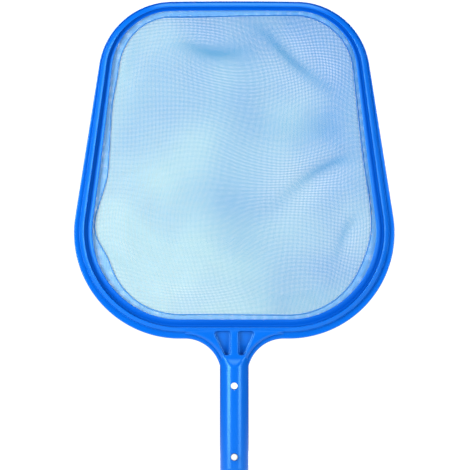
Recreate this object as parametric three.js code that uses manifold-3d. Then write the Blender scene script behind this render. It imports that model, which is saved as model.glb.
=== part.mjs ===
// Leaf skimmer head for a swimming pool: a flat moulded frame that carries a shallow mesh net,
// with a hollow handle that plugs into a telescopic pole and locks there with a V spring clip.
//
// Millimetres, +Z up. The origin is the centre of the handle's open end. The handle rises along +Z
// into the head, the head lies in the XZ plane, and its front, the side the leaves come in, faces -Y.
// Depths below are plain Y values, so a more negative depth stands closer to the front.

import * as THREE from 'three';
import { mergeVertices } from 'three/addons/utils/BufferGeometryUtils.js';
import Module from 'manifold-3d';

// ---- Driving dimensions: the head's outline ----
const HEAD_BOTTOM = 131.7; // height of the head's lower outer edge
const HEAD_TOP = 465.1; // height of the outer edge at the middle of the crown
const LOWER_CORNER_RADIUS = 104.5;
const LOWER_CORNER_X = 54; // the lower corners' centres stand this far from the middle
const UPPER_CORNER_RADIUS = 73;
const CROWN_RADIUS = 4000;
const SIDE_LEAN = THREE.MathUtils.degToRad(9); // the sides lean in towards the crown

// ---- The rim's section, from the outer edge inwards ----
const FLANGE_WIDTH_BOTTOM = 6.6;
const FLANGE_WIDTH_TOP = 1;
const RIB_WIDTH = 4.6;
const RIM_WIDTH_BOTTOM = 19;
const RIM_WIDTH_TOP = 9.2;
const FLANGE_DEPTH = -4;
const RIB_DEPTH = -8;
const SEAT_DEPTH = 2.1; // the step the net is clamped on
const BACK_DEPTH = 6;
const EDGE_ROUND = 1.6;
const FLANGE_NARROWING = 1.5; // how late, going up, the flange gets narrow: 1 would be evenly
const RIM_NARROWING = 2.2;
const RIB_FOOT = 0.4; // the rib's outer side leans in by this much, and turns over its shoulder above
const RIB_SHOULDER = 1.2;
const WIDEST_ROUND = 0.8; // an edge's round takes at most this share of the flange
const ROUND_CORNER = 0.3; // where the middle of a rounded edge lies, as a share of its radius
const RIB_SOFTENING = 0.9; // the inner edge of the rib is bevelled this wide
const BACK_CHAMFER = 1;

// ---- The ring, the hem and the net, clamped on the seat with a gap between each ----
const GAP = 0.3;
const CLOTH_THICKNESS = 0.6;
const CLAMPED_INSET = 1.8; // the net's cut edge hides this far inside the rib
const NET_DEPTH = SEAT_DEPTH - GAP - CLOTH_THICKNESS;
const HEM_DEPTH = NET_DEPTH - GAP - CLOTH_THICKNESS;
const RING_BACK_DEPTH = HEM_DEPTH - GAP;
const RING_GROOVE_DEPTH = -2.4;
const RING_CREST_DEPTH = -6;
const RING_ROUND = 1.6;
const RING_FOOT = 0.3; // shares of the ring's width: where its slope starts and ends
const RING_SHOULDER = 0.55;
const RING_EASE = 0.15; // and how wide its crest's rounds are
const HEM_WIDTH = 8;
const HEM_SAG = 1.4;
const NET_SAG = 14;
const NET_MIDDLE_HEIGHT = 300;

// ---- The handle and the neck ----
const HANDLE_RADIUS = 14.2;
const HANDLE_CHAMFER = 0.8;
const BORE_RADIUS = 11.9;
const BORE_LENGTH = 97;
const HOLE_RADIUS = 3.5;
const LOWER_HOLE_HEIGHT = 15.2;
const HOLE_PITCH = 69.85;
const NECK_FILLET_RADIUS = 36;
const NECK_FILLET_X = 49;
const NECK_OVERLAP = 1.5; // how far the neck's plate runs into the handle and the rim
const PLATE_BEVEL = 1;
const RIDGE_INSET = 7.1; // the raised gusset starts this far inside the neck's outline
const GUSSET_SHOULDER = 3; // width of the rounded drop from the gusset to the flange
const GUSSET_STEP = 2; // height between the gusset's sections
const NARROWEST_FLAT = 0.5;
const RAMP_START = 102;
const RAMP_END = 116;
const POCKET_INNER_X = 4;
const POCKET_OUTER_TOP_X = 20;
const POCKET_OUTER_BOTTOM_X = 9.8;
const POCKET_TOP = 139.1;
const POCKET_BOTTOM = 115.5;
const POCKET_CORNER_RADIUS = 2.2;
const POCKET_FLOOR = 1.2; // half the thickness of the floor between the front and back pockets

// ---- The V spring clip ----
const CLIP_WIDTH = 9;
const CLIP_THICKNESS = 1.2;
const CLIP_LEG_DEPTH = 10.8; // outer face of a leg where it lies along the bore
const CLIP_BEND_HEIGHT = 62;
const CLIP_BEND_RADIUS = 3.4;
const CLIP_KNEE_HEIGHT = 25;
const CLIP_TIP_HEIGHT = 5;
const BUTTON_RADIUS = 3.175;
const BUTTON_TIP_DEPTH = 18.2;
const BUTTON_DOME = 1.2;

// ---- Facets ----
const LOWER_CORNER_STEPS = 18;
const SIDE_STEPS = 5;
const UPPER_CORNER_STEPS = 14;
const CROWN_STEPS = 3;
const NET_ROWS = 5;
const DOME_STEPS = 4;
const ROUND_SIDES = 48;
const HOLE_SIDES = 24;
const ARC_STEPS = 8;

const lowerHoleZ = LOWER_HOLE_HEIGHT;
const upperHoleZ = LOWER_HOLE_HEIGHT + HOLE_PITCH;
const neckFilletZ = HEAD_BOTTOM - NECK_FILLET_RADIUS;

const CUT_REACH = HANDLE_RADIUS * 2; // cutting tools reach this far to the front and the back
const WELD = 1e-4; // points nearer than this are one point

const wasm = await Module();
wasm.setup();

// ---- Solids ----

function toSolid(geometry) {
  const bare = geometry.clone();
  bare.deleteAttribute('normal');
  bare.deleteAttribute('uv');
  const merged = mergeVertices(bare, WELD);
  return new wasm.Manifold(new wasm.Mesh({
    numProp: 3,
    vertProperties: new Float32Array(merged.attributes.position.array),
    triVerts: new Uint32Array(merged.index.array),
  }));
}

function toGeometry(solid) {
  const mesh = solid.getMesh();
  const geometry = new THREE.BufferGeometry();
  geometry.setAttribute('position', new THREE.BufferAttribute(new Float32Array(mesh.vertProperties), 3));
  geometry.setIndex(new THREE.BufferAttribute(new Uint32Array(mesh.triVerts), 1));
  geometry.computeVertexNormals();
  return geometry;
}

function signedVolume(points, triangles) {
  let sum = 0;
  for (const [a, b, c] of triangles) {
    sum += points[a].dot(new THREE.Vector3().crossVectors(points[b], points[c]));
  }
  return sum / 6;
}

// A geometry whose faces all point outwards.
function closedGeometry(points, triangles) {
  const flip = signedVolume(points, triangles) < 0;
  const index = triangles.flatMap(([a, b, c]) => (flip ? [a, c, b] : [a, b, c]));
  const geometry = new THREE.BufferGeometry();
  geometry.setAttribute('position', new THREE.Float32BufferAttribute(points.flatMap((p) => p.toArray()), 3));
  geometry.setIndex(index);
  geometry.computeVertexNormals();
  return geometry;
}

// The triangles between two neighbouring closed rows of `count` points each.
function bandTriangles(firstRow, secondRow, count) {
  const triangles = [];
  for (let i = 0; i < count; i += 1) {
    const next = (i + 1) % count;
    triangles.push([firstRow + i, firstRow + next, secondRow + next]);
    triangles.push([firstRow + i, secondRow + next, secondRow + i]);
  }
  return triangles;
}

// A ring-shaped solid: closed sections that follow each other round and meet the first again.
function ringSolid(sections) {
  const count = sections[0].length;
  const triangles = sections.flatMap((_, s) => (
    bandTriangles(s * count, ((s + 1) % sections.length) * count, count)
  ));
  return closedGeometry(sections.flat(), triangles);
}

// A solid through closed sections from end to end, with a flat fan on each end.
function loftSolid(sections) {
  const count = sections[0].length;
  const last = (sections.length - 1) * count;
  const triangles = [];
  for (let s = 0; s < sections.length - 1; s += 1) {
    triangles.push(...bandTriangles(s * count, (s + 1) * count, count));
  }
  for (let i = 1; i < count - 1; i += 1) {
    triangles.push([0, i + 1, i]);
    triangles.push([last, last + i, last + i + 1]);
  }
  return closedGeometry(sections.flat(), triangles);
}

// A thin dished solid: rows of front points from the edge inwards, ending in one middle point.
function dishSolid(rows, middle, thickness) {
  const count = rows[0].length;
  const front = [...rows.flat(), middle];
  const back = front.map((p) => new THREE.Vector3(p.x, p.y + thickness, p.z));
  const offset = front.length;
  const faces = [];
  for (let r = 0; r < rows.length - 1; r += 1) {
    faces.push(...bandTriangles(r * count, (r + 1) * count, count));
  }
  const lastRow = (rows.length - 1) * count;
  for (let i = 0; i < count; i += 1) {
    faces.push([lastRow + i, lastRow + ((i + 1) % count), front.length - 1]);
  }
  const backFaces = faces.map(([a, b, c]) => [a + offset, c + offset, b + offset]);
  const rimFaces = bandTriangles(offset, 0, count);
  return closedGeometry([...front, ...back], [...faces, ...backFaces, ...rimFaces]);
}

// ---- The head's outline ----

// The upper corner's centre: inside the leaning side, and inside the crown's arc.
function upperCornerCentre() {
  const normal = new THREE.Vector2(Math.cos(SIDE_LEAN), Math.sin(SIDE_LEAN));
  const along = new THREE.Vector2(-normal.y, normal.x);
  const lowerCentre = new THREE.Vector2(LOWER_CORNER_X, HEAD_BOTTOM + LOWER_CORNER_RADIUS);
  const sideDistance = lowerCentre.dot(normal) + LOWER_CORNER_RADIUS - UPPER_CORNER_RADIUS;
  const crownCentre = new THREE.Vector2(0, HEAD_TOP - CROWN_RADIUS);
  const start = normal.clone().multiplyScalar(sideDistance).sub(crownCentre);
  const reach = CROWN_RADIUS - UPPER_CORNER_RADIUS;
  const half = start.dot(along);
  const travel = -half + Math.sqrt(half * half - start.lengthSq() + reach * reach);
  return normal.multiplyScalar(sideDistance).addScaledVector(along, travel);
}

// Points along the right half of the outline, from the bottom's middle to the crown's middle.
// Each is a place on the outer edge and the direction that points out of the head there.
function rightHalfOutline() {
  const stations = [];
  const arc = (cx, cz, radius, from, to, steps) => {
    for (let i = 0; i <= steps; i += 1) {
      const angle = from + ((to - from) * i) / steps;
      const outward = new THREE.Vector2(Math.cos(angle), Math.sin(angle));
      stations.push({
        place: new THREE.Vector2(cx, cz).addScaledVector(outward, radius),
        outward,
      });
    }
  };
  const upper = upperCornerCentre();
  const crownZ = HEAD_TOP - CROWN_RADIUS;
  const crownAngle = Math.atan2(upper.y - crownZ, upper.x);
  const lowerZ = HEAD_BOTTOM + LOWER_CORNER_RADIUS;
  stations.push({ place: new THREE.Vector2(0, HEAD_BOTTOM), outward: new THREE.Vector2(0, -1) });
  arc(LOWER_CORNER_X, lowerZ, LOWER_CORNER_RADIUS, -Math.PI / 2, SIDE_LEAN, LOWER_CORNER_STEPS);
  const sideStart = stations[stations.length - 1];
  const sideEnd = new THREE.Vector2(upper.x, upper.y).addScaledVector(sideStart.outward, UPPER_CORNER_RADIUS);
  for (let i = 1; i < SIDE_STEPS; i += 1) {
    stations.push({
      place: sideStart.place.clone().lerp(sideEnd, i / SIDE_STEPS),
      outward: sideStart.outward,
    });
  }
  arc(upper.x, upper.y, UPPER_CORNER_RADIUS, SIDE_LEAN, crownAngle, UPPER_CORNER_STEPS);
  const corner = stations.pop();
  arc(0, crownZ, CROWN_RADIUS, Math.atan2(corner.outward.y, corner.outward.x), Math.PI / 2, CROWN_STEPS);
  return stations;
}

// The whole outline, once round, with the widths of the rim's bands at each place.
function headStations() {
  const right = rightHalfOutline();
  const left = right.slice(1, -1).reverse().map(({ place, outward }) => ({
    place: new THREE.Vector2(-place.x, place.y),
    outward: new THREE.Vector2(-outward.x, outward.y),
  }));
  return [...right, ...left].map((station) => {
    const rise = (station.place.y - HEAD_BOTTOM) / (HEAD_TOP - HEAD_BOTTOM);
    const flange = THREE.MathUtils.lerp(FLANGE_WIDTH_BOTTOM, FLANGE_WIDTH_TOP, rise ** FLANGE_NARROWING);
    const rim = THREE.MathUtils.lerp(RIM_WIDTH_BOTTOM, RIM_WIDTH_TOP, rise ** RIM_NARROWING);
    return { ...station, flange, rim };
  });
}

// The point that lies `inset` inside the outline at a station, at the given depth.
function insetPoint(station, inset, depth) {
  const { place, outward } = station;
  return new THREE.Vector3(place.x - outward.x * inset, depth, place.y - outward.y * inset);
}

// ---- The frame moulding ----

function rimGeometry(stations) {
  return ringSolid(stations.map((station) => {
    const { flange, rim } = station;
    const round = Math.min(EDGE_ROUND, flange * WIDEST_ROUND);
    const corner = round * ROUND_CORNER;
    const rib = flange + RIB_WIDTH;
    const profile = [
      [round, BACK_DEPTH],
      [corner, BACK_DEPTH - corner],
      [0, BACK_DEPTH - round],
      [0, FLANGE_DEPTH + round],
      [corner, FLANGE_DEPTH + corner],
      [round, FLANGE_DEPTH],
      [flange, FLANGE_DEPTH],
      [flange + RIB_FOOT, RIB_DEPTH + RIB_SHOULDER - RIB_FOOT],
      [flange + RIB_SHOULDER, RIB_DEPTH],
      [rib - RIB_SOFTENING, RIB_DEPTH],
      [rib, RIB_DEPTH + RIB_SOFTENING],
      [rib, SEAT_DEPTH],
      [rim, SEAT_DEPTH],
      [rim, BACK_DEPTH - BACK_CHAMFER],
      [rim - BACK_CHAMFER, BACK_DEPTH],
    ];
    return profile.map(([inset, depth]) => insetPoint(station, inset, depth));
  }));
}

// The flat plate of the neck: it spreads from the handle into the rim's flange with two fillets.
function neckPlateGeometry() {
  const plate = new THREE.Shape();
  const meetAngle = Math.acos((NECK_FILLET_X - HANDLE_RADIUS) / NECK_FILLET_RADIUS);
  const topZ = HEAD_BOTTOM + FLANGE_WIDTH_BOTTOM + NECK_OVERLAP;
  const rootX = HANDLE_RADIUS - NECK_OVERLAP;
  const rootZ = RAMP_START - NECK_OVERLAP;
  plate.moveTo(-rootX, rootZ);
  plate.lineTo(rootX, rootZ);
  plate.absarc(NECK_FILLET_X, neckFilletZ, NECK_FILLET_RADIUS, Math.PI - meetAngle, Math.PI / 2, true);
  plate.lineTo(NECK_FILLET_X, topZ);
  plate.lineTo(-NECK_FILLET_X, topZ);
  plate.absarc(-NECK_FILLET_X, neckFilletZ, NECK_FILLET_RADIUS, Math.PI / 2, meetAngle, true);
  return uprightPlate(plate, FLANGE_DEPTH, BACK_DEPTH, PLATE_BEVEL);
}

// A shape drawn in X and Z, given thickness from one depth to another, with rounded rims.
function uprightPlate(shape, frontDepth, backDepth, bevel) {
  const geometry = new THREE.ExtrudeGeometry(shape, {
    depth: backDepth - frontDepth - 2 * bevel,
    bevelEnabled: bevel > 0,
    bevelThickness: bevel,
    bevelSize: bevel,
    bevelOffset: -bevel,
    bevelSegments: 2,
    curveSegments: ARC_STEPS,
  });
  geometry.rotateX(Math.PI / 2);
  geometry.translate(0, backDepth - bevel, 0);
  return geometry;
}

// How far from the middle an arc about the neck fillet's centre lies, at a height.
function neckArcX(radius, height) {
  const rise = height - neckFilletZ;
  return NECK_FILLET_X - Math.sqrt(Math.max(radius * radius - rise * rise, 0));
}

// The raised gusset and its ramp: round like the handle below, flat like the rim's rib above.
function gussetGeometry() {
  const ridgeRadius = NECK_FILLET_RADIUS + RIDGE_INSET;
  const footRadius = ridgeRadius - GUSSET_SHOULDER;
  const top = HEAD_BOTTOM + FLANGE_WIDTH_BOTTOM + RIB_WIDTH / 2;
  const heights = [];
  for (let z = RAMP_START - GUSSET_STEP; z < top; z += GUSSET_STEP) {
    heights.push(z);
  }
  heights.push(top);
  return loftSolid(heights.map((z) => {
    const share = THREE.MathUtils.smoothstep(z, RAMP_START, RAMP_END);
    const flat = Math.max(neckArcX(ridgeRadius, z) * share, NARROWEST_FLAT);
    const side = Math.max(HANDLE_RADIUS, neckArcX(footRadius, z) + GUSSET_SHOULDER / 2);
    const front = THREE.MathUtils.lerp(HANDLE_RADIUS, -RIB_DEPTH, share);
    const back = THREE.MathUtils.lerp(HANDLE_RADIUS, BACK_DEPTH, share);
    return gussetSection(flat, side, front, back, z);
  }));
}

// One level section of the gusset: a flat front and back, joined to the sides by quarter ellipses.
function gussetSection(flat, side, front, back, z) {
  const quarter = (signX, depth) => {
    const points = [];
    for (let i = 0; i <= ARC_STEPS; i += 1) {
      const angle = (i / ARC_STEPS) * (Math.PI / 2);
      const x = flat + (side - flat) * Math.cos(angle);
      points.push(new THREE.Vector3(signX * x, depth * Math.sin(angle), z));
    }
    return points;
  };
  const frontLeft = quarter(-1, -front).reverse();
  const backRight = quarter(1, back).reverse();
  return [
    ...quarter(1, -front),
    ...frontLeft,
    ...quarter(-1, back).slice(1),
    ...backRight.slice(0, -1),
  ];
}

function uprightCylinder(radius, bottom, top, sides) {
  const geometry = new THREE.CylinderGeometry(radius, radius, top - bottom, sides);
  geometry.rotateX(Math.PI / 2);
  geometry.translate(0, 0, (top + bottom) / 2);
  return geometry;
}

function handleGeometry() {
  const profile = [
    new THREE.Vector2(0, 0),
    new THREE.Vector2(HANDLE_RADIUS - HANDLE_CHAMFER, 0),
    new THREE.Vector2(HANDLE_RADIUS, HANDLE_CHAMFER),
    new THREE.Vector2(HANDLE_RADIUS, RAMP_START),
    new THREE.Vector2(0, RAMP_START),
  ];
  const geometry = new THREE.LatheGeometry(profile, ROUND_SIDES);
  geometry.rotateX(Math.PI / 2);
  return geometry;
}

// A hole right through both walls of the handle, from front to back.
function crossHoleGeometry(height) {
  const geometry = new THREE.CylinderGeometry(HOLE_RADIUS, HOLE_RADIUS, CUT_REACH * 2, HOLE_SIDES);
  geometry.translate(0, 0, height);
  return geometry;
}

// A closed outline through corners, with every corner rounded by an arc.
function roundedOutline(corners, radius) {
  const outline = new THREE.Shape();
  corners.forEach((corner, i) => {
    const before = corners[(i + corners.length - 1) % corners.length];
    const after = corners[(i + 1) % corners.length];
    const toBefore = before.clone().sub(corner).normalize();
    const toAfter = after.clone().sub(corner).normalize();
    const halfAngle = Math.acos(toBefore.dot(toAfter)) / 2;
    const cut = radius / Math.tan(halfAngle);
    const start = corner.clone().addScaledVector(toBefore, cut);
    const end = corner.clone().addScaledVector(toAfter, cut);
    if (i === 0) {
      outline.moveTo(start.x, start.y);
    } else {
      outline.lineTo(start.x, start.y);
    }
    outline.quadraticCurveTo(corner.x, corner.y, end.x, end.y);
  });
  return outline;
}

// One of the gusset's pockets, on the right (side 1) or the left (side -1), as the plug that cuts it.
function pocketPlugGeometry(side, frontDepth, backDepth) {
  const corners = [
    new THREE.Vector2(side * POCKET_INNER_X, POCKET_BOTTOM),
    new THREE.Vector2(side * POCKET_OUTER_BOTTOM_X, POCKET_BOTTOM),
    new THREE.Vector2(side * POCKET_OUTER_TOP_X, POCKET_TOP),
    new THREE.Vector2(side * POCKET_INNER_X, POCKET_TOP),
  ];
  return uprightPlate(roundedOutline(corners, POCKET_CORNER_RADIUS), frontDepth, backDepth, 0);
}

function frameGeometry(stations) {
  let frame = toSolid(rimGeometry(stations))
    .add(toSolid(neckPlateGeometry()))
    .add(toSolid(gussetGeometry()))
    .add(toSolid(handleGeometry()));
  for (const side of [-1, 1]) {
    frame = frame.subtract(toSolid(pocketPlugGeometry(side, -CUT_REACH, -POCKET_FLOOR)));
    frame = frame.subtract(toSolid(pocketPlugGeometry(side, POCKET_FLOOR, CUT_REACH)));
  }
  frame = frame.subtract(toSolid(uprightCylinder(BORE_RADIUS, -1, BORE_LENGTH, ROUND_SIDES)));
  for (const height of [lowerHoleZ, upperHoleZ]) {
    frame = frame.subtract(toSolid(crossHoleGeometry(height)));
  }
  return toGeometry(frame);
}

// ---- The retaining ring, the net and its hem ----

function retainingRingGeometry(stations) {
  return ringSolid(stations.map((station) => {
    const outer = station.flange + RIB_WIDTH + GAP;
    const width = station.rim - outer;
    const profile = [
      [0, RING_BACK_DEPTH],
      [0, RING_GROOVE_DEPTH],
      [RING_FOOT, RING_GROOVE_DEPTH],
      [RING_SHOULDER, RING_CREST_DEPTH + RING_ROUND / 2],
      [RING_SHOULDER + RING_EASE, RING_CREST_DEPTH],
      [1 - RING_EASE, RING_CREST_DEPTH],
      [1, RING_CREST_DEPTH + RING_ROUND],
      [1, RING_BACK_DEPTH],
    ];
    return profile.map(([share, depth]) => insetPoint(station, outer + share * width, depth));
  }));
}

function hemGeometry(stations) {
  return ringSolid(stations.map((station) => {
    const outer = station.flange + RIB_WIDTH + CLAMPED_INSET;
    const { rim } = station;
    const profile = [
      [outer, HEM_DEPTH],
      [rim, HEM_DEPTH],
      [rim + HEM_WIDTH, HEM_DEPTH + HEM_SAG],
      [rim + HEM_WIDTH, HEM_DEPTH + HEM_SAG + CLOTH_THICKNESS],
      [rim, HEM_DEPTH + CLOTH_THICKNESS],
      [outer, HEM_DEPTH + CLOTH_THICKNESS],
    ];
    return profile.map(([inset, depth]) => insetPoint(station, inset, depth));
  }));
}

function netGeometry(stations) {
  const middle = new THREE.Vector3(0, NET_DEPTH + NET_SAG, NET_MIDDLE_HEIGHT);
  const clamped = stations.map((s) => insetPoint(s, s.flange + RIB_WIDTH + CLAMPED_INSET, NET_DEPTH));
  const free = stations.map((s) => insetPoint(s, s.rim, NET_DEPTH));
  const hemLine = stations.map((s) => insetPoint(s, s.rim + HEM_WIDTH, NET_DEPTH + HEM_SAG));
  const shares = Array.from({ length: NET_ROWS }, (_, i) => 1 - (i + 1) / (NET_ROWS + 1));
  const inner = shares.map((share) => hemLine.map((point) => {
    const p = middle.clone().lerp(point, share);
    p.y = NET_DEPTH + HEM_SAG + (NET_SAG - HEM_SAG) * (1 - share * share);
    return p;
  }));
  return dishSolid([clamped, free, hemLine, ...inner], middle, CLOTH_THICKNESS);
}

// ---- The V spring clip ----

function clipSpringGeometry() {
  const outer = CLIP_LEG_DEPTH;
  const inner = CLIP_LEG_DEPTH - CLIP_THICKNESS;
  const bendOuter = CLIP_BEND_RADIUS;
  const bendInner = CLIP_BEND_RADIUS - CLIP_THICKNESS;
  const strip = new THREE.Shape();
  strip.moveTo(outer, CLIP_TIP_HEIGHT);
  strip.lineTo(outer, CLIP_KNEE_HEIGHT);
  strip.absarc(0, CLIP_BEND_HEIGHT, bendOuter, 0, Math.PI, false);
  strip.lineTo(-outer, CLIP_KNEE_HEIGHT);
  strip.lineTo(-outer, CLIP_TIP_HEIGHT);
  strip.lineTo(-inner, CLIP_TIP_HEIGHT);
  strip.lineTo(-inner, CLIP_KNEE_HEIGHT);
  strip.absarc(0, CLIP_BEND_HEIGHT, bendInner, Math.PI, 0, true);
  strip.lineTo(inner, CLIP_KNEE_HEIGHT);
  strip.lineTo(inner, CLIP_TIP_HEIGHT);
  const geometry = new THREE.ExtrudeGeometry(strip, {
    depth: CLIP_WIDTH,
    bevelEnabled: false,
    curveSegments: ARC_STEPS,
  });
  geometry.translate(0, 0, -CLIP_WIDTH / 2);
  geometry.applyMatrix4(new THREE.Matrix4().set(
    0, 0, 1, 0,
    1, 0, 0, 0,
    0, 1, 0, 0,
    0, 0, 0, 1,
  ));
  return geometry;
}

// A locking button with a domed tip, standing along +Y with its base at zero.
function buttonGeometry() {
  const length = BUTTON_TIP_DEPTH - CLIP_LEG_DEPTH - GAP;
  const profile = [new THREE.Vector2(0, 0), new THREE.Vector2(BUTTON_RADIUS, 0)];
  for (let i = 0; i <= DOME_STEPS; i += 1) {
    const angle = (i / DOME_STEPS) * (Math.PI / 2);
    const radius = BUTTON_RADIUS - BUTTON_DOME + BUTTON_DOME * Math.cos(angle);
    profile.push(new THREE.Vector2(radius, length - BUTTON_DOME + BUTTON_DOME * Math.sin(angle)));
  }
  profile.push(new THREE.Vector2(0, length));
  return new THREE.LatheGeometry(profile, HOLE_SIDES);
}

// ---- Materials ----

function glossyBlue() {
  return new THREE.MeshStandardMaterial({ color: 0x0a6fe8, roughness: 0.3, metalness: 0 });
}

function paleBlueMesh() {
  return new THREE.MeshStandardMaterial({ color: 0x9ccdf2, roughness: 0.7, metalness: 0 });
}

function springSteel() {
  return new THREE.MeshStandardMaterial({ color: 0xb8bcc0, roughness: 0.35, metalness: 1 });
}

function whitePlastic() {
  return new THREE.MeshStandardMaterial({ color: 0xf2f2ef, roughness: 0.4, metalness: 0 });
}

// ---- The assembly ----

function namedMesh(name, geometry, material) {
  const mesh = new THREE.Mesh(geometry, material);
  mesh.name = name;
  return mesh;
}

// The clip with a button on each leg; the front button is the back one turned half round the handle.
function springClip() {
  const clip = new THREE.Group();
  clip.add(namedMesh('clip_spring', clipSpringGeometry(), springSteel()));
  const sides = { clip_button_back: 0, clip_button_front: Math.PI };
  for (const [name, turn] of Object.entries(sides)) {
    const button = namedMesh(name, buttonGeometry(), whitePlastic());
    const seat = CLIP_LEG_DEPTH + GAP;
    button.rotation.z = turn;
    button.position.set(0, turn === 0 ? seat : -seat, lowerHoleZ);
    clip.add(button);
  }
  return clip;
}

function skimmerHead() {
  const stations = headStations();
  const head = new THREE.Group();
  head.add(namedMesh('frame_moulding', frameGeometry(stations), glossyBlue()));
  head.add(namedMesh('net_retaining_ring', retainingRingGeometry(stations), glossyBlue()));
  head.add(namedMesh('mesh_net', netGeometry(stations), paleBlueMesh()));
  head.add(namedMesh('net_hem', hemGeometry(stations), paleBlueMesh()));
  head.add(springClip());
  return head;
}

export default skimmerHead();
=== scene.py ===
# The looks of the pool leaf skimmer head: a glossy blue moulded frame with a fine mesh net clamped in
# it by a retaining ring, and a hollow handle that holds a V spring clip with two locking buttons.
#
# Metres, +Z up, in the frame of the CAD: the origin is the centre of the handle's open end, the handle
# rises into the head, and the front of the head faces -Y.

import math

import bmesh
import bpy
import numpy as np
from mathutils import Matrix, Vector, noise


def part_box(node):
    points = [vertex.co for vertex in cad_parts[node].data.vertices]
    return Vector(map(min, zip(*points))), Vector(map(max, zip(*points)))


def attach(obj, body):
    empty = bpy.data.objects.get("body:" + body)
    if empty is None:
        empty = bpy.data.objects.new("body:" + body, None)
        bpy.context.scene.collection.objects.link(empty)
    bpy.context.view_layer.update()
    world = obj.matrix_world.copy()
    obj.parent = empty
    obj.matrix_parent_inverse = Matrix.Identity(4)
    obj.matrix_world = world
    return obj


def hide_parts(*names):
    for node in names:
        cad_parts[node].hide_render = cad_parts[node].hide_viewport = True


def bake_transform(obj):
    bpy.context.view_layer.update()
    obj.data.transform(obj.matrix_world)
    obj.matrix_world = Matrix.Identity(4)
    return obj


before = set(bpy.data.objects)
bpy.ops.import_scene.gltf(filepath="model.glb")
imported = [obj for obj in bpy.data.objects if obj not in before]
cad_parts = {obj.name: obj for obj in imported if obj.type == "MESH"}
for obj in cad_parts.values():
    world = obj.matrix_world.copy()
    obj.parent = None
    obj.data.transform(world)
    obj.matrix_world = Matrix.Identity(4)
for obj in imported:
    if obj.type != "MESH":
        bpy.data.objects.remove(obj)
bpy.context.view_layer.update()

MM = 0.001

# ---- The head's outline ----
FRAME_LOW, FRAME_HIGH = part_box("frame_moulding")
HEAD_TOP = FRAME_HIGH[2]
HALF_WIDTH = FRAME_HIGH[0]
HEAD_BOTTOM = 131.7 * MM
LOWER_CORNER_RADIUS = 104.5 * MM
LOWER_CORNER_X = HALF_WIDTH - LOWER_CORNER_RADIUS
UPPER_CORNER_RADIUS = 73 * MM
CROWN_RADIUS = 4000 * MM
SIDE_LEAN = math.radians(9)

# ---- The rim's section; depths are plain Y values ----
FLANGE_WIDTH_BOTTOM = 6.6 * MM
FLANGE_WIDTH_TOP = 1 * MM
RIB_WIDTH = 4.6 * MM
RIM_WIDTH_BOTTOM = 19 * MM
RIM_WIDTH_TOP = 9.2 * MM
FLANGE_DEPTH = -4 * MM
RIB_DEPTH = -8 * MM
SEAT_DEPTH = 2.1 * MM
BACK_DEPTH = 6 * MM
EDGE_ROUND = 1.6 * MM
BACK_ROUND = 1.2 * MM
RIB_ROUND = 1.2 * MM
CREASE_ROUND = 0.3 * MM
RIB_FOOT = 0.5 * MM
RIB_BEVEL = 0.6 * MM
DISH_DEPTH = 1.6 * MM
NECK_FADE_LENGTH = 25 * MM
RING_GAP = 0.08 * MM
RING_CREST = -3.9 * MM
RING_SLOPE = 0.29
# Shares of the ring's width: where its slope starts and ends.
RING_FOOT = 0.3
RING_SHOULDER = 0.86

# ---- The neck and the handle ----
HANDLE_RADIUS = 14.2 * MM
BORE_RADIUS = 11.9 * MM
BORE_TOP = 97 * MM
HOLE_RADIUS = 3.5 * MM
LOWER_HOLE_HEIGHT = 15.2 * MM
UPPER_HOLE_HEIGHT = LOWER_HOLE_HEIGHT + 69.85 * MM
NECK_RADIUS = 36 * MM
NECK_X = 49 * MM
NECK_Z = HEAD_BOTTOM - NECK_RADIUS
RIDGE_RADIUS = NECK_RADIUS + 7.1 * MM
SHOULDER = 3 * MM
PLATE_TOP = HEAD_BOTTOM + FLANGE_WIDTH_BOTTOM + 1 * MM
PLATE_LAP = 1.2 * MM
THINNEST_FLAT = 0.02 * MM
RAMP_START = 102 * MM
RAMP_END = 116 * MM
POCKET_INNER_X = 4 * MM
POCKET_OUTER_TOP_X = 20.8 * MM
POCKET_OUTER_BOTTOM_X = 9.8 * MM
POCKET_TOP = 139.1 * MM
POCKET_BOTTOM = 115.5 * MM
POCKET_FLOOR = 0.9 * MM
POCKET_RISE = 2.4 * MM

# ---- The net ----
NET_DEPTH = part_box("mesh_net")[0][1]
NET_SAG = 14 * MM
HEM_SAG = 1.4 * MM
HEM_WIDTH = 8 * MM
NET_MIDDLE_Z = 300 * MM
CLAMPED_INSET = 1.8 * MM
HEM_LIFT = 0.75 * MM
HEM_TILT = 0.12
SEAM_LIFT = 1 * MM
SEAM_WIDTH = 1.2 * MM
SEAM_THICKNESS = 0.7 * MM
THREAD_WIDTH = 0.72 * MM
HEM_THREAD_WIDTH = 0.86 * MM
THREAD_THICKNESS = 0.36 * MM
THREAD_PITCH = 1.28 * MM
THREAD_STEP = 3.8 * MM
NET_REACH = 190 * MM
# Slack in the cloth: how high, and how far apart or how far in from the rim.
SWELL_HEIGHT, SWELL_SIZE = 1.8 * MM, 55 * MM
RIPPLE_HEIGHT, RIPPLE_SIZE = 0.8 * MM, 24 * MM
PUCKER_HEIGHT, PUCKER_REACH = 1.1 * MM, 22 * MM
PUCKER_COUNT = 31
PULL, PULL_SIZE = 6 * MM, 110 * MM
FREE_REACH = 25 * MM
PULL_REACH = 30 * MM
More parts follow.
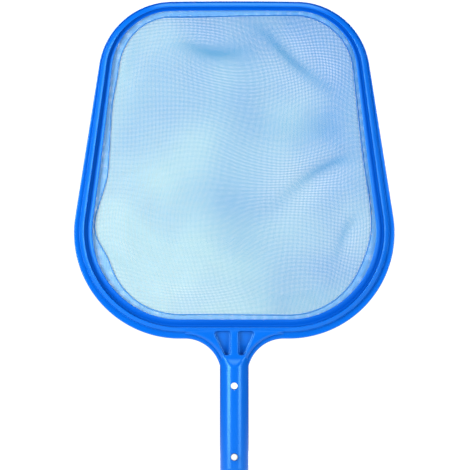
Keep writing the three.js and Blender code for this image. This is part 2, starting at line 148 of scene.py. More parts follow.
# Folds where the slack cloth has been tucked together: both ends, how wide, how tight and how deep.
FOLDS = (
    ((-56 * MM, 426 * MM), (16 * MM, 408 * MM), 21 * MM, 0.42, 2 * MM),
    ((18 * MM, 444 * MM), (92 * MM, 384 * MM), 14 * MM, 0.42, 3 * MM),
    ((124 * MM, 314 * MM), (50 * MM, 272 * MM), 12 * MM, 0.48, 4 * MM),
    ((-148 * MM, 240 * MM), (-106 * MM, 198 * MM), 10 * MM, 0.45, 3 * MM),
    ((-122 * MM, 380 * MM), (-96 * MM, 430 * MM), 11 * MM, 0.3, 2 * MM),
    ((128 * MM, 258 * MM), (104 * MM, 218 * MM), 10 * MM, 0.3, 3 * MM),
    ((10 * MM, 330 * MM), (110 * MM, 350 * MM), 36 * MM, 0.2, 2 * MM),
)
# The hem's free edge wanders: degrees round the net's middle, and how far inside the rim it lies there.
HEM_SHAPE = (
    (-176, 8 * MM),
    (-162, 2 * MM),
    (-156, 1.5 * MM),
    (-146, 10 * MM),
    (-125, 5 * MM),
    (-112, 4.5 * MM),
    (-62, 5 * MM),
    (-36, 7 * MM),
    (-15, 3 * MM),
    (10, 4 * MM),
    (45, 4 * MM),
    (62, 5 * MM),
    (90, 6 * MM),
    (118, 5 * MM),
    (131, 6 * MM),
    (141, 7 * MM),
    (152, 4 * MM),
    (162, 5 * MM),
)

# ---- The clip ----
CLIP_LOW, CLIP_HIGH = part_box("clip_spring")
BUTTON_LOW, BUTTON_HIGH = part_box("clip_button_back")
CLIP_THICKNESS = 1.2 * MM
CLIP_BEND_HEIGHT = 62 * MM
CLIP_BEND_RADIUS = 3.4 * MM
CLIP_KNEE_HEIGHT = 25 * MM
CLIP_KNEE_BEND = 5 * MM
CLIP_EDGE_ROUND = 0.4 * MM
BUTTON_DOME = 1.2 * MM
COLLAR = 0.8 * MM
RIVET_RADIUS = 1.2 * MM
RIVET_HEAD_RADIUS = 2 * MM

# ---- The studio ----
CAMERA_DISTANCE = 6
CAMERA_LENS = 465
CAMERA_RIGHT, CAMERA_UP = 0.7 * MM, 1.6 * MM
FLOOR_HALF = 0.6
FOCUS = (0, 0, 0.25)
# Each softbox: degrees round from the front, height, distance, size and watts.
SOFTBOXES = {
    "left_softbox": (-44, 0.3, 1.3, (0.56, 1.3), 33),
    "right_softbox": (44, 0.25, 1.3, (0.42, 1.3), 17),
    "top_softbox": (10, 1.6, 0.5, (0.9, 0.6), 9),
    "back_softbox": (180, 0.6, 1.4, (1.2, 1), 26),
}


# ---- Meshes ----


def mesh_object(name, points, faces):
    mesh = bpy.data.meshes.new(name)
    mesh.from_pydata([tuple(p) for p in points], [], faces)
    made = bpy.data.objects.new(name, mesh)
    bpy.context.scene.collection.objects.link(made)
    return made


def band(first, second, count):
    """Quads between two closed rows of count points that start at the given indices."""
    return [
        (first + i, first + (i + 1) % count, second + (i + 1) % count, second + i)
        for i in range(count)
    ]


def turn_outwards(made):
    shell = bmesh.new()
    shell.from_mesh(made.data)
    bmesh.ops.recalc_face_normals(shell, faces=shell.faces)
    shell.to_mesh(made.data)
    shell.free()
    return made


def ring(name, sections):
    """A closed solid through sections that follow each other round and meet the first again."""
    count = len(sections[0])
    faces = []
    for s in range(len(sections)):
        faces += band(s * count, (s + 1) % len(sections) * count, count)
    return turn_outwards(mesh_object(name, np.concatenate(sections), faces))


def loft(name, sections):
    """A solid through closed sections from one end to the other, with a flat face on each end."""
    count = len(sections[0])
    last = (len(sections) - 1) * count
    faces = [tuple(range(count)), tuple(range(last, last + count))]
    for s in range(len(sections) - 1):
        faces += band(s * count, (s + 1) * count, count)
    return turn_outwards(mesh_object(name, np.concatenate(sections), faces))


def combine(base, others, operation):
    """Joins the other solids to the base, or cuts them out of it, and removes them."""
    for other in others:
        step = base.modifiers.new("combine", "BOOLEAN")
        step.object = other
        step.operation = operation
        step.solver = "MANIFOLD"
        evaluated = base.evaluated_get(bpy.context.evaluated_depsgraph_get())
        mesh = bpy.data.meshes.new_from_object(evaluated)
        base.modifiers.clear()
        base.data = mesh
        bpy.data.objects.remove(other)
    base.data.materials.clear()
    return base


def smooth(made, angle=40):
    """Smooth shading, with edges sharper than the angle left crisp."""
    made.data.shade_smooth()
    made.data.set_sharp_from_angle(angle=math.radians(angle))
    return made


def rounded(corners, steps=5):
    """A closed outline through corners (x, y, radius), with each corner turned into an arc."""
    points = []
    for i, (x, y, radius) in enumerate(corners):
        here = np.array((x, y))
        before = np.array(corners[i - 1][:2]) - here
        after = np.array(corners[(i + 1) % len(corners)][:2]) - here
        before /= np.linalg.norm(before)
        after /= np.linalg.norm(after)
        half = math.acos(np.clip(before @ after, -1, 1)) / 2
        reach = radius / math.tan(half)
        start, end = here + before * reach, here + after * reach
        for t in np.linspace(0, 1, steps + 1):
            points.append((1 - t) ** 2 * start + 2 * t * (1 - t) * here + t * t * end)
    return np.array(points)


def grown(outline, amount):
    """A convex closed outline moved outwards by an amount."""
    along = np.roll(outline, -1, axis=0) - np.roll(outline, 1, axis=0)
    normal = np.column_stack((along[:, 1], -along[:, 0]))
    normal /= np.linalg.norm(normal, axis=1)[:, None]
    if ((outline - outline.mean(axis=0)) * normal).sum() < 0:
        normal = -normal
    return outline + normal * amount


def at_depth(outline, depth):
    """An outline drawn in X and Z, as points at one depth."""
    return np.column_stack((outline[:, 0], np.full(len(outline), depth), outline[:, 1]))


# ---- The head's outline ----


def arc(centre, radius, start, end, steps):
    """Places along an arc, each with its outward direction."""
    angles = np.linspace(start, end, steps + 1)
    outward = np.column_stack((np.cos(angles), np.sin(angles)))
    return np.hstack((np.array(centre) + outward * radius, outward))


def straight(start, end, steps):
    """Places between two stations, without the two themselves."""
    shares = np.linspace(0, 1, steps + 1)[1:-1, None]
    return start * (1 - shares) + end * shares


def upper_corner_centre():
    """Inside the leaning side and inside the crown's arc."""
    normal = np.array((math.cos(SIDE_LEAN), math.sin(SIDE_LEAN)))
    along = np.array((-normal[1], normal[0]))
    lower = np.array((LOWER_CORNER_X, HEAD_BOTTOM + LOWER_CORNER_RADIUS))
    side = lower @ normal + LOWER_CORNER_RADIUS - UPPER_CORNER_RADIUS
    start = normal * side - np.array((0, HEAD_TOP - CROWN_RADIUS))
    reach = CROWN_RADIUS - UPPER_CORNER_RADIUS
    half = start @ along
    return normal * side + along * (
        math.sqrt(half * half - start @ start + reach * reach) - half
    )


def head_outline():
    """Rows of x, z, outward x and outward z, once round the head from the middle of its lower edge."""
    upper = upper_corner_centre()
    crown = (0, HEAD_TOP - CROWN_RADIUS)
    crown_angle = math.atan2(upper[1] - crown[1], upper[0])
    lower_centre = (LOWER_CORNER_X, HEAD_BOTTOM + LOWER_CORNER_RADIUS)
    lower = arc(lower_centre, LOWER_CORNER_RADIUS, -math.pi / 2, SIDE_LEAN, 80)
    corner = arc(upper, UPPER_CORNER_RADIUS, SIDE_LEAN, crown_angle, 60)
    top = arc(crown, CROWN_RADIUS, crown_angle, math.pi / 2, 24)
    middle = np.array([[0, HEAD_BOTTOM, 0, -1]])
    bottom = straight(middle[0], lower[0], 20)
    side = straight(lower[-1], corner[0], 40)
    right = np.vstack((middle, bottom, lower, side, corner[:-1], top))
    left = right[1:-1][::-1] * np.array((-1, 1, -1, 1))
    return np.vstack((right, left))


OUTLINE = head_outline()
RISE = (OUTLINE[:, 1] - HEAD_BOTTOM) / (HEAD_TOP - HEAD_BOTTOM)
FLANGE = FLANGE_WIDTH_BOTTOM + (FLANGE_WIDTH_TOP - FLANGE_WIDTH_BOTTOM) * RISE**1.5
RIM = RIM_WIDTH_BOTTOM + (RIM_WIDTH_TOP - RIM_WIDTH_BOTTOM) * RISE**2.2
NECK_DISTANCE = np.maximum(np.abs(OUTLINE[:, 0]) - NECK_X, OUTLINE[:, 1] - HEAD_BOTTOM)
NECK_FADE = np.clip(NECK_DISTANCE / NECK_FADE_LENGTH, 0, 1)
FLANGE_DISH = DISH_DEPTH * NECK_FADE
RIB_LEAN = RIB_FOOT + FLANGE_DISH


def inset(station, profile):
    """Turns rows of inset and depth into points at one place of the outline."""
    x, z, out_x, out_z = OUTLINE[station]
    return np.column_stack(
        (x - out_x * profile[:, 0], profile[:, 1], z - out_z * profile[:, 0])
    )


# ---- The frame moulding ----


def rim_section(station):
    flange, rim = FLANGE[station], RIM[station]
    rib = flange + RIB_WIDTH
    flange_depth = FLANGE_DEPTH + FLANGE_DISH[station]
    edge = min(EDGE_ROUND, flange * 0.45)
    return inset(
        station,
        rounded(
            [
                (0, BACK_DEPTH, BACK_ROUND),
                (0, FLANGE_DEPTH, edge),
                (flange, flange_depth, min(0.5 * MM, flange * 0.3)),
                (flange + RIB_FOOT, RIB_DEPTH + RIB_LEAN[station], RIB_ROUND),
                (rib - RIB_BEVEL, RIB_DEPTH, RIB_ROUND),
                (rib, RIB_DEPTH + 0.5 * MM, CREASE_ROUND),
                (rib, SEAT_DEPTH, CREASE_ROUND),
                (rim, SEAT_DEPTH, 0.5 * MM),
                (rim, BACK_DEPTH, 1 * MM),
            ]
        ),
    )


def neck_arc_x(radius, height):
    """How far from the middle an arc about the neck fillet's centre lies, at a height."""
    rise = height - NECK_Z
    return NECK_X - math.sqrt(max(radius * radius - rise * rise, 0))


def neck_plate():
    """The flat plate that spreads from the handle into the rim's flange, with rounded edges."""
    root = RAMP_START - 6 * MM

    def outline(amount):
        radius = NECK_RADIUS + amount
        start = math.acos((NECK_X - HANDLE_RADIUS + PLATE_LAP) / radius)
        angles = np.linspace(start, math.pi / 2, 60)
        right = np.column_stack(
            (NECK_X - radius * np.cos(angles), NECK_Z + radius * np.sin(angles))
        )
        right = np.vstack(([(right[0][0], root)], right, [(NECK_X, PLATE_TOP)]))
        return np.vstack((right, right[::-1] * np.array((-1, 1))))

    turns = np.linspace(0, math.pi / 2, 6)
    front = [
        (EDGE_ROUND * (1 - math.sin(t)), FLANGE_DEPTH + EDGE_ROUND * (1 - math.cos(t)))
        for t in turns
    ]
    back = [(amount, BACK_DEPTH + FLANGE_DEPTH - depth) for amount, depth in front]
    sections = [at_depth(outline(amount), depth) for amount, depth in front + back[::-1]]
    return loft("neck_plate", sections)


def gusset_section(height):
    """A level section of the gusset: flat front and back, joined to the sides by quarter ellipses."""
    share = (height - RAMP_START) / (RAMP_END - RAMP_START)
    share = min(max(share, 0), 1)
    share = share * share * (3 - 2 * share)
    flat = max(neck_arc_x(RIDGE_RADIUS, height) * share, THINNEST_FLAT)
    foot = neck_arc_x(RIDGE_RADIUS - SHOULDER, height)
    side = max(HANDLE_RADIUS, foot + SHOULDER / 2)
    front = HANDLE_RADIUS + (-RIB_DEPTH - HANDLE_RADIUS) * share
    back = HANDLE_RADIUS + (BACK_DEPTH - HANDLE_RADIUS) * share
    turns = np.linspace(0, math.pi / 2, 25)
    across = flat + (side - flat) * np.cos(turns)
    front_right = np.column_stack((across, -front * np.sin(turns)))
    back_right = np.column_stack((across, back * np.sin(turns)))
    mirrored = np.array((-1, 1))
    section = np.vstack(
        (
            front_right,
            front_right[::-1] * mirrored,
            (back_right * mirrored)[1:],
            back_right[::-1][:-1],
        )
    )
    return np.column_stack((section, np.full(len(section), height)))


def gusset():
    top = HEAD_BOTTOM + FLANGE_WIDTH_BOTTOM + RIB_WIDTH / 2
    heights = np.linspace(RAMP_START - 2 * MM, top, 90)
    return loft("gusset", [gusset_section(z) for z in heights])


def disc(radius, height, sides=96):
    angles = np.linspace(0, 2 * math.pi, sides, endpoint=False)
    return np.column_stack(
        (radius * np.cos(angles), radius * np.sin(angles), np.full(sides, height))
    )


def turned(name, profile, sides=96):
    """A solid of revolution about +Z through rows of radius and height."""
    return loft(name, [disc(radius, height, sides) for radius, height in profile])


def handle():
    chamfer = 0.8 * MM
    levels = np.linspace(chamfer, RAMP_START, 30)
    profile = [(HANDLE_RADIUS - chamfer, 0), (HANDLE_RADIUS - chamfer * 0.3, chamfer * 0.3)]
    profile += [(HANDLE_RADIUS, z) for z in levels]
    return turned("handle", profile)


def bore():
    lead = 0.5 * MM
    profile = [(BORE_RADIUS + lead * 2, -lead), (BORE_RADIUS, lead * 1.5), (BORE_RADIUS, BORE_TOP)]
    return turned("bore", profile)


def cross_hole(height):
    """A hole right through both walls of the handle, with a small chamfer on each mouth."""
    mouth = HANDLE_RADIUS - 0.5 * MM
    reach = HANDLE_RADIUS + 1 * MM
    flared = HOLE_RADIUS + 1.6 * MM
    profile = [(flared, -reach), (HOLE_RADIUS, -mouth), (HOLE_RADIUS, mouth), (flared, reach)]
    hole = turned("cross_hole", profile, 64)
    for vertex in hole.data.vertices:
        x, y, z = vertex.co
        vertex.co = (x, z, height + y)
    return turn_outwards(hole)


def pocket(side, front):
    """The plug that cuts one pocket of the gusset: side is 1 or -1, front is 1 or -1."""
    outline = rounded(
        [
            (side * POCKET_INNER_X, POCKET_BOTTOM, 3 * MM),
            (side * POCKET_OUTER_BOTTOM_X, POCKET_BOTTOM, 3 * MM),
            (side * POCKET_OUTER_TOP_X, POCKET_TOP, 3.4 * MM),
            (side * POCKET_INNER_X, POCKET_TOP, 2.4 * MM),
        ],
        8,
    )
    surface = RIB_DEPTH if front == 1 else BACK_DEPTH
    bottom = -front * POCKET_FLOOR
    levels = [
        (1.6 * MM, surface - front * 0.3 * MM),
        (1.1 * MM, surface - front * 0.02 * MM),
        (0.6 * MM, surface + front * 0.18 * MM),
        (0.25 * MM, surface + front * 0.5 * MM),
        (0.05 * MM, surface + front * 1 * MM),
        (0, surface + front * 1.5 * MM),
        (-0.1 * MM, bottom - front * 1 * MM),
        (-0.4 * MM, bottom - front * 0.3 * MM),
        (-1 * MM, bottom),
    ]
    sections = [at_depth(grown(outline, amount), depth) for amount, depth in levels]
    for section in sections[-3:]:
        share = (section[:, 2] - POCKET_BOTTOM) / (POCKET_TOP - POCKET_BOTTOM)
        section[:, 1] -= front * POCKET_RISE * share
    return loft("pocket", sections)


def frame_moulding():
    rim = ring("frame_body", [rim_section(s) for s in range(len(OUTLINE))])
    combine(rim, [neck_plate(), gusset(), handle()], "UNION")
    pockets = [pocket(side, front) for side in (-1, 1) for front in (-1, 1)]
    holes = [cross_hole(LOWER_HOLE_HEIGHT), cross_hole(UPPER_HOLE_HEIGHT)]
    combine(rim, [*pockets, bore(), *holes], "DIFFERENCE")
    smooth(rim, 38)
    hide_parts("frame_moulding")
    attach(rim, "head")
    return rim


# ---- The retaining ring ----


def ring_section(station):
    outer = FLANGE[station] + RIB_WIDTH + RING_GAP
    width = RIM[station] - outer
    groove = RING_CREST + width * RING_SLOPE
    return inset(
        station,
        rounded(
            [
                (outer, 0, 0.2 * MM),
                (outer, groove, CREASE_ROUND),
                (outer + RING_FOOT * width, groove, 0.9 * MM),
                (outer + RING_SHOULDER * width, RING_CREST, 0.7 * MM),
                (outer + width, RING_CREST + 0.4 * MM, CREASE_ROUND),
                (outer + width, 0, 0.4 * MM),
            ]
        ),
    )


def retaining_ring():
    made = ring("retaining_ring", [ring_section(s) for s in range(len(OUTLINE))])
    smooth(made, 50)
    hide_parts("net_retaining_ring")
    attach(made, "head")
    return made


# ---- The net ----


def inner_line(reach):
    """The line a given way inside the outline, as rows of x and z."""
    return OUTLINE[:, :2] - OUTLINE[:, 2:] * reach[:, None]


def polar(x, z):
    """Angle and distance of a place from the net's middle."""
    return np.arctan2(z - NET_MIDDLE_Z, x), np.hypot(x, z - NET_MIDDLE_Z)


def polar_line(line):
    """A line round the net's middle, as sorted angles and distances."""
    angle, distance = polar(line[:, 0], line[:, 1])
    order = np.argsort(angle)
    angle, distance = angle[order], distance[order]
    around = np.concatenate((angle[-1:] - 2 * math.pi, angle, angle[:1] + 2 * math.pi))
    return around, np.concatenate((distance[-1:], distance, distance[:1]))


CLAMPED_EDGE = inner_line(FLANGE + RIB_WIDTH + CLAMPED_INSET)
CLAMP_LINE = polar_line(CLAMPED_EDGE)
RIM_LINE = polar_line(inner_line(RIM))
HEM_LINE = polar_line(inner_line(RIM + HEM_WIDTH))


def distance_to(line, angle):
    """How far a line lies from the net's middle, in the directions given."""
    return np.interp(angle, *line)


def waviness(x, z, seed, size):
    """Soft noise between about -1 and 1 over a place."""
    values = [
        noise.noise(Vector((px / size + seed, pz / size - seed, seed)))
        for px, pz in zip(np.ravel(x), np.ravel(z))
    ]
    return np.array(values).reshape(np.shape(x)) * 1.6


def fold_distance(fold, x, z):
    """How far a place is to the side of a fold, how much of the fold is there, and its normal."""
    start, end, width = np.array(fold[0]), np.array(fold[1]), fold[2]
    length = np.linalg.norm(end - start)
    direction = (end - start) / length
    normal = np.array((-direction[1], direction[0]))
    offset_x, offset_z = x - (start[0] + end[0]) / 2, z - (start[1] + end[1]) / 2
    ahead = (offset_x * direction[0] + offset_z * direction[1]) / length
    bend = 0.2 * width * np.cos(4 * ahead)
    side = offset_x * normal[0] + offset_z * normal[1] + bend
    return side, np.exp(-((1.9 * ahead) ** 2) - (side / width) ** 2), normal


def net_depth(x, z):
    """The depth of the net's middle surface: flat where it is clamped, then sagging, with soft folds."""
    angle, distance = polar(x, z)
    rim, hem = distance_to(RIM_LINE, angle), distance_to(HEM_LINE, angle)
    share = np.clip(distance / hem, 0, 1)
    sag = np.clip((rim - distance) / (rim - hem), 0, 1) * HEM_SAG
    sag = sag + (NET_SAG - HEM_SAG) * (1 - share**2)
    free = np.clip((rim - distance) / FREE_REACH, 0, 1)
    puckers = PUCKER_HEIGHT * np.sin(angle * PUCKER_COUNT + 3 * waviness(x, z, 2.3, 90 * MM))
    puckers = puckers * np.exp(-((rim - distance) / PUCKER_REACH) ** 2)
    folds = SWELL_HEIGHT * waviness(x, z, 7.1, SWELL_SIZE)
    folds = folds + RIPPLE_HEIGHT * waviness(x, z, 4.4, RIPPLE_SIZE)
    for fold in FOLDS:
        folds = folds + fold[4] * fold_distance(fold, x, z)[1]
    return NET_DEPTH + THREAD_THICKNESS + sag + free * (puckers + folds)


def drawn(x, z):
    """Where a place on the straight mesh ends up once the cloth has been pulled about."""
    angle, distance = polar(x, z)
    free = np.clip((distance_to(RIM_LINE, angle) - distance) / PULL_REACH, 0, 1)
    shift_x = PULL * waviness(x, z, 11.7, PULL_SIZE)
    shift_z = PULL * waviness(x, z, 15.2, PULL_SIZE)
    for fold in FOLDS:
        side, strength, normal = fold_distance(fold, x, z)
        pull = fold[3] * side * strength
        shift_x, shift_z = shift_x - pull * normal[0], shift_z - pull * normal[1]
    return x + free * shift_x, z + free * shift_z


def thread_tube(path, width, thickness):
    """Points of a flat-fronted three-sided thread along a path, and its faces counted from zero."""
    direction = np.gradient(path, axis=0)
    direction /= np.linalg.norm(direction, axis=1)[:, None]
    side = np.cross(direction, (0, 1, 0))
    side /= np.linalg.norm(side, axis=1)[:, None]
    back = np.cross(direction, side)
    back *= np.sign(back[:, 1:2])
    half, third = side * width / 2, back * thickness / 3
    corners = [2 * third, half - third, -half - third]
    points = np.stack([path + corner for corner in corners], axis=1).reshape(-1, 3)
    faces = []
    for i in range(len(path) - 1):
        faces += band(3 * i, 3 * i + 3, 3)
    end = 3 * (len(path) - 1)
    faces += [(2, 1, 0), (end, end + 1, end + 2)]
    return points, faces


def threads(lift, lengthwise, tilt, inner):
    """Paths of one set of parallel threads.

    The cloth reaches from the clamped edge to the inner line, or right across without one.
    """
    layer = lift + THREAD_THICKNESS * (-0.4 if lengthwise else 0.4)

    def place(across, ahead):
        x, z = (across, ahead) if lengthwise else (ahead, across)
        return (
            x * math.cos(tilt) - z * math.sin(tilt),
            x * math.sin(tilt) + z * math.cos(tilt) + NET_MIDDLE_Z,
        )

    count = int(NET_REACH / THREAD_PITCH)
    ahead = np.linspace(-NET_REACH, NET_REACH, 6 * int(NET_REACH / THREAD_STEP))
    paths = []
    for i in range(-count, count + 1):
        angle, distance = polar(*place(np.full(len(ahead), i * THREAD_PITCH), ahead))
        kept = distance < distance_to(CLAMP_LINE, angle)
        if inner is not None:
            kept &= distance > distance_to(inner, angle)
        ends = np.flatnonzero(np.diff(np.concatenate(([0], kept.astype(int), [0]))))
        for first, last in zip(ends[::2], ends[1::2] - 1):
            if last == first:
                continue
            steps = math.ceil((ahead[last] - ahead[first]) / THREAD_STEP)
            run = np.linspace(ahead[first], ahead[last], steps + 1)
            x, z = drawn(*place(np.full(len(run), i * THREAD_PITCH), run))
            paths.append(np.column_stack((x, net_depth(x, z) + layer, z)))
    return paths


def mesh_cloth(name, width, lift=0.0, tilt=0.0, inner=None):
    """A fine mesh cloth, with both sets of threads as one piece."""
    points, faces, total = [], [], 0
    for lengthwise in (True, False):
        for path in threads(lift, lengthwise, tilt, inner):
            made, made_faces = thread_tube(path, width, THREAD_THICKNESS)
            points.append(made)
            faces += [tuple(v + total for v in face) for face in made_faces]
            total += len(made)
    return turn_outwards(mesh_object(name, np.concatenate(points), faces))


def hem_edge():
    """The hem's free edge, as sorted angles and distances from the net's middle."""
    angle = np.radians(np.arange(-180, 180))
    marks = [math.radians(mark) for mark, _ in HEM_SHAPE]
    widths = [width for _, width in HEM_SHAPE]
    width = np.interp(angle, marks, widths, period=2 * math.pi)
    spread = np.hanning(15)
    rounded_off = np.convolve(np.tile(width, 3), spread / spread.sum(), "same")[360:720]
    distance = distance_to(RIM_LINE, angle) - rounded_off
    around = np.concatenate((angle[-1:] - 2 * math.pi, angle, angle[:1] + 2 * math.pi))
    return around, np.concatenate((distance[-1:], distance, distance[:1]))


def net_pieces():
    """The net and its hem, with a stitched thread along the hem's free edge."""
    edge = hem_edge()
    net = mesh_cloth("net", THREAD_WIDTH)
    hem = mesh_cloth("hem", HEM_THREAD_WIDTH, lift=-HEM_LIFT, tilt=HEM_TILT, inner=edge)
    angle = np.linspace(0, 2 * math.pi, 700)
    distance = distance_to(edge, (angle + math.pi) % (2 * math.pi) - math.pi)
    x, z = drawn(distance * np.cos(angle), NET_MIDDLE_Z + distance * np.sin(angle))
    seam_path = np.column_stack((x, net_depth(x, z) - SEAM_LIFT, z))
    seam_tube = thread_tube(seam_path, SEAM_WIDTH, SEAM_THICKNESS)
    seam = turn_outwards(mesh_object("hem_seam", *seam_tube))
    seam.data.shade_smooth()
    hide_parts("mesh_net")
    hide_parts("net_hem")
    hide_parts("net_hem")
    for piece, slot in ((net, "net_mesh"), (hem, "hem_mesh"), (seam, "hem_mesh")):
        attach(piece, "head")
    x, z = CLAMPED_EDGE.T
    return net, hem, seam


# ---- The spring clip ----


def clip_leg(side):
    """One leg of the spring strip, from the middle of its bend to its tip: side 1 is the back leg."""
    middle = CLIP_BEND_RADIUS - CLIP_THICKNESS / 2
    lay = CLIP_HIGH[1] - CLIP_THICKNESS / 2
    turns = np.linspace(math.pi / 2, 0, 10)
    path = [
        (middle * math.cos(t), CLIP_BEND_HEIGHT + middle * math.sin(t)) for t in turns
    ]
    knee = np.array((lay, CLIP_KNEE_HEIGHT))
    above = np.array(path[-1]) - knee
    above *= CLIP_KNEE_BEND / np.linalg.norm(above)
    bend_start, bend_end = knee + above, knee - (0, CLIP_KNEE_BEND)
    for t in np.linspace(0, 1, 9):
        path.append((1 - t) ** 2 * bend_start + 2 * t * (1 - t) * knee + t * t * bend_end)
    below = CLIP_KNEE_HEIGHT - CLIP_KNEE_BEND - 1 * MM
    path += [(lay, z) for z in np.linspace(below, CLIP_LOW[2], 12)]
    path = np.array([(side * y, z) for y, z in path])
    direction = np.gradient(path, axis=0)
    direction /= np.linalg.norm(direction, axis=1)[:, None]
    normal = np.column_stack((-direction[:, 1], direction[:, 0]))
    half, thick = CLIP_HIGH[0], CLIP_THICKNESS / 2
    corners = ((half, thick), (half, -thick), (-half, -thick), (-half, thick))
    section = rounded([(*corner, CLIP_EDGE_ROUND) for corner in corners], 3)
    sections = [
        [(x, *(place + up * t)) for x, t in section] for place, up in zip(path, normal)
    ]
    leg = smooth(loft("clip_leg_back" if side > 0 else "clip_leg_front", sections), 40)
    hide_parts("clip_spring")
    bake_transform(leg)
    return leg


def locking_button(side):
    """A domed button with a thin collar on the leg and the rivet that holds it: side 1 is the back."""
    radius = BUTTON_HIGH[0]
    tip = BUTTON_HIGH[1]
    base = BUTTON_LOW[1]
    turns = np.linspace(0, math.pi / 2, 8)[:-1]
    dome = [
        (radius - BUTTON_DOME * (1 - math.cos(t)), tip - BUTTON_DOME * (1 - math.sin(t)))
        for t in turns
    ]
    inner_face = CLIP_HIGH[1] - CLIP_THICKNESS
    profile = [
        (RIVET_HEAD_RADIUS - 0.5 * MM, inner_face - 0.7 * MM),
        (RIVET_HEAD_RADIUS, inner_face - 0.4 * MM),
        (RIVET_HEAD_RADIUS, inner_face - 0.05 * MM),
        (RIVET_RADIUS, inner_face),
        (RIVET_RADIUS, CLIP_HIGH[1]),
        (radius + COLLAR - 0.1 * MM, base - 0.2 * MM),
        (radius + COLLAR, base),
        (radius + COLLAR - 0.1 * MM, base + 0.4 * MM),
        (radius, base + 0.6 * MM),
        *dome,
        (radius - BUTTON_DOME, tip),
    ]
    made = turned("button_back" if side > 0 else "button_front", profile, 64)
    for vertex in made.data.vertices:
        x, y, z = vertex.co
        vertex.co = (x, side * z, LOWER_HOLE_HEIGHT + y)
    turn_outwards(made)
    smooth(made, 35)
    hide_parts("clip_button_back" if side > 0 else "clip_button_front")
    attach(made, "back_button" if side > 0 else "front_button")
    return made


# ---- Materials ----


def new_material(name):
    """A material, with its nodes, links and main shader."""
    material = bpy.data.materials.new(name)
    material.use_nodes = True
    nodes, links = material.node_tree.nodes, material.node_tree.links
    return material, nodes, links, nodes["Principled BSDF"]


def mottle(nodes, links, place, scale, detail=2):
    """Noise over the surface."""
    texture = nodes.new("ShaderNodeTexNoise")
    texture.inputs["Scale"].default_value = scale
    texture.inputs["Detail"].default_value = detail
    links.new(place, texture.inputs["Vector"])
    return texture.outputs["Fac"]


def stretched(nodes, links, place, scale, offset=0, turn=0):
    """A place scaled, moved along X and turned about Y."""
    mapping = nodes.new("ShaderNodeMapping")
    mapping.inputs["Location"].default_value = (offset, 0, 0)
    mapping.inputs["Rotation"].default_value = (0, turn, 0)
    mapping.inputs["Scale"].default_value = scale
    links.new(place, mapping.inputs["Vector"])
    return mapping.outputs["Vector"]


def colour_by(nodes, links, value, low, high, reach=(0.3, 0.7)):
    """A colour that goes from low to high as the value crosses the reach."""
    ramp = nodes.new("ShaderNodeValToRGB")
    for element, position, colour in zip(ramp.color_ramp.elements, reach, (low, high)):
        element.position = position
        element.color = (*colour, 1)
    links.new(value, ramp.inputs["Fac"])
    return ramp.outputs["Color"]


def roughness_by(nodes, links, value, low, high, shader):
    sheen = nodes.new("ShaderNodeMapRange")
    sheen.inputs["To Min"].default_value = low
    sheen.inputs["To Max"].default_value = high
    links.new(value, sheen.inputs["Value"])
    links.new(sheen.outputs["Result"], shader.inputs["Roughness"])


def bump_by(nodes, links, value, strength, distance, shader):
    bump = nodes.new("ShaderNodeBump")
    bump.inputs["Strength"].default_value = strength
    bump.inputs["Distance"].default_value = distance
    links.new(value, bump.inputs["Height"])
    links.new(bump.outputs["Normal"], shader.inputs["Normal"])


def plastic(name, colour, shade, roughness, tint, grain):
    """Moulded plastic: a base colour that drifts a little, a soft sheen and a very fine skin."""
    material, nodes, links, shader = new_material(name)
    place = nodes.new("ShaderNodeTexCoord").outputs["Object"]
    drift = mottle(nodes, links, place, 9, 3)
    links.new(colour_by(nodes, links, drift, shade, colour), shader.inputs["Base Color"])
    skin = mottle(nodes, links, place, 60, 4)
    roughness_by(nodes, links, skin, roughness - 0.05, roughness + 0.06, shader)
    bump_by(nodes, links, mottle(nodes, links, place, 900), grain, 0.1 * MM, shader)
    shader.inputs["Specular Tint"].default_value = (*tint, 1)
    shader.inputs["IOR"].default_value = 1.47
    return material


def thread_material(name, pale, deep, glow):
    """Fine, slightly see-through nylon thread, from pale to deep blue: soft random patches mixed with
    painted shade that deepens towards the upper right.
    """
    material, nodes, links, shader = new_material(name)
    place = nodes.new("ShaderNodeTexCoord").outputs["Object"]
    # Painted shade: a slanted gradient, deeper blue towards the upper right on the side away from the
    # left softbox, mixed half and half with random patches.
    across = nodes.new("ShaderNodeTexGradient")
    shade_slant = stretched(nodes, links, place, (3, 3, 3), -0.124, math.radians(40))
    links.new(shade_slant, across.inputs["Vector"])
    both = nodes.new("ShaderNodeMixRGB")
    both.inputs["Fac"].default_value = 0.5
    links.new(across.outputs["Fac"], both.inputs["Color1"])
    links.new(mottle(nodes, links, place, 13, 1), both.inputs["Color2"])
    colour = colour_by(nodes, links, both.outputs["Color"], pale, deep)
    links.new(colour, shader.inputs["Base Color"])
    fibre = mottle(nodes, links, place, 1500)
    roughness_by(nodes, links, fibre, 0.4, 0.6, shader)
    bump_by(nodes, links, fibre, 0.2, 0.05 * MM, shader)
    passed = nodes.new("ShaderNodeBsdfTranslucent")
    passed.inputs["Color"].default_value = (*glow, 1)
    together = nodes.new("ShaderNodeAddShader")
    links.new(shader.outputs["BSDF"], together.inputs[0])
    links.new(passed.outputs["BSDF"], together.inputs[1])
    links.new(together.outputs["Shader"], nodes["Material Output"].inputs["Surface"])
    return material


def spring_steel():
    """Bright rolled steel, with fine lines along the strip."""
    material, nodes, links, shader = new_material("spring_steel")
    place = nodes.new("ShaderNodeTexCoord").outputs["Object"]
    lines = mottle(nodes, links, stretched(nodes, links, place, (2500, 300, 40)), 1, 4)
    dark, bright = (0.46, 0.47, 0.49), (0.62, 0.63, 0.65)
    colour = colour_by(nodes, links, lines, dark, bright, (0, 1))
    links.new(colour, shader.inputs["Base Color"])
    roughness_by(nodes, links, lines, 0.22, 0.4, shader)
    bump_by(nodes, links, lines, 0.15, 0.02 * MM, shader)
    shader.inputs["Metallic"].default_value = 1
    return material


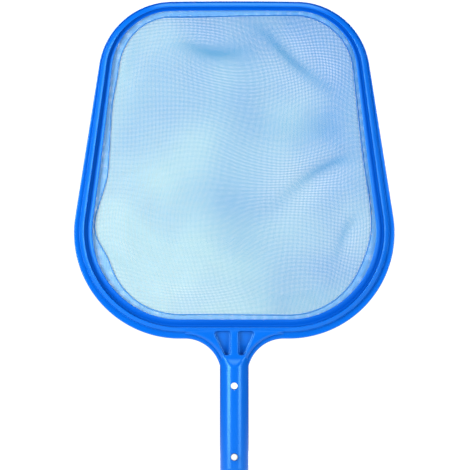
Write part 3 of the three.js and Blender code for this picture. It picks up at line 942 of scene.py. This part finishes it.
def floor_material():
    material, _, _, shader = new_material("pale_floor")
    shader.inputs["Base Color"].default_value = (0.4, 0.4, 0.4, 1)
    shader.inputs["Roughness"].default_value = 0.9
    shader.inputs["Emission Color"].default_value = (1, 1, 1, 1)
    shader.inputs["Emission Strength"].default_value = 0.72
    return material


# ---- The studio ----


def studio_world():
    """White behind the object; softer for the light it sheds, and dim where glossy faces mirror it."""
    world = bpy.data.worlds.new("studio")
    bpy.context.scene.world = world
    world.use_nodes = True
    nodes, links = world.node_tree.nodes, world.node_tree.links
    nodes.clear()
    output = nodes.new("ShaderNodeOutputWorld")
    ray = nodes.new("ShaderNodeLightPath")

    def background(colour, strength):
        node = nodes.new("ShaderNodeBackground")
        node.inputs["Color"].default_value = (*colour, 1)
        node.inputs["Strength"].default_value = strength
        return node.outputs["Background"]

    def choose(share, without, with_it):
        node = nodes.new("ShaderNodeMixShader")
        links.new(ray.outputs[share], node.inputs["Fac"])
        links.new(without, node.inputs[1])
        links.new(with_it, node.inputs[2])
        return node.outputs["Shader"]

    shed = background((0.9, 0.96, 1), 0.6)
    mirrored = background((0.5, 0.85, 1), 0.08)
    white = background((1, 1, 1), 1.1)
    unseen = choose("Is Glossy Ray", shed, mirrored)
    links.new(choose("Is Camera Ray", unseen, white), output.inputs["Surface"])


def soft_light(name, azimuth, height, distance, size, watts):
    """A softbox that faces the focus; azimuth 0 is in front, and positive is to the right."""
    lamp = bpy.data.lights.new(name, "AREA")
    lamp.shape = "RECTANGLE"
    lamp.size, lamp.size_y = size
    lamp.energy = watts
    made = bpy.data.objects.new(name, lamp)
    bpy.context.scene.collection.objects.link(made)
    turn = math.radians(azimuth)
    made.location = (distance * math.sin(turn), -distance * math.cos(turn), height)
    aim = Vector(FOCUS) - made.location
    made.rotation_euler = aim.to_track_quat("-Z", "Y").to_euler()
    made.visible_camera = False


def studio_camera():
    camera = bpy.data.cameras.new("camera")
    camera.sensor_width = 36
    camera.lens = CAMERA_LENS
    camera.clip_start, camera.clip_end = 0.1, 100
    made = bpy.data.objects.new("camera", camera)
    bpy.context.scene.collection.objects.link(made)
    middle = (FRAME_LOW[2] + FRAME_HIGH[2]) / 2
    made.location = (CAMERA_RIGHT, -CAMERA_DISTANCE, middle + CAMERA_UP)
    made.rotation_euler = (math.pi / 2, 0, 0)
    bpy.context.scene.camera = made


def floor():
    half = FLOOR_HALF
    corners = [(-half, -half), (half, -half), (half, half), (-half, half)]
    made = mesh_object("floor", [(x, y, -0.5 * MM) for x, y in corners], [(0, 1, 2, 3)])
    made.data.materials.append(floor_material())


# ---- The assembly ----

BLUE_TINT = (0.3, 0.85, 1)
RING_TINT = (0.2, 0.8, 1)
WHITE = (1, 1, 1)

blue = plastic("glossy_blue", (0.0, 0.082, 0.42), (0.0, 0.075, 0.4), 0.23, BLUE_TINT, 0.05)
# The retaining ring's own moulded blue, made a little darker than the frame's as painted shade for the
# dark band beside the rib.
shaded_ring_blue = plastic("shaded_ring_blue", (0.0, 0.07, 0.4), (0.0, 0.063, 0.38), 0.3, RING_TINT, 0.05)
frame_moulding().data.materials.append(blue)
retaining_ring().data.materials.append(shaded_ring_blue)

# Pale and deep: the ends of each cloth's random patches and of its painted shade towards the upper
# right; then the colour of the light it lets through.
cloth_materials = (
    thread_material("net_thread", (0.168, 0.31, 0.305), (0.008, 0.132, 0.275), (0.025, 0.13, 0.28)),
    thread_material("hem_thread", (0.14, 0.28, 0.33), (0.06, 0.2, 0.31), (0.06, 0.28, 0.5)),
    thread_material("seam_thread", (0.02, 0.17, 0.42), (0.01, 0.12, 0.38), (0, 0.08, 0.2)),
)
for piece, material in zip(net_pieces(), cloth_materials):
    piece.data.materials.append(material)

steel = spring_steel()
nylon = plastic("white_nylon", (0.47, 0.48, 0.48), (0.43, 0.44, 0.44), 0.4, WHITE, 0.1)
for side in (1, -1):
    clip_leg(side).data.materials.append(steel)
    locking_button(side).data.materials.append(nylon)

studio_world()
for name, setting in SOFTBOXES.items():
    soft_light(name, *setting)
studio_camera()
floor()
bpy.context.scene.view_settings.view_transform = "Standard"
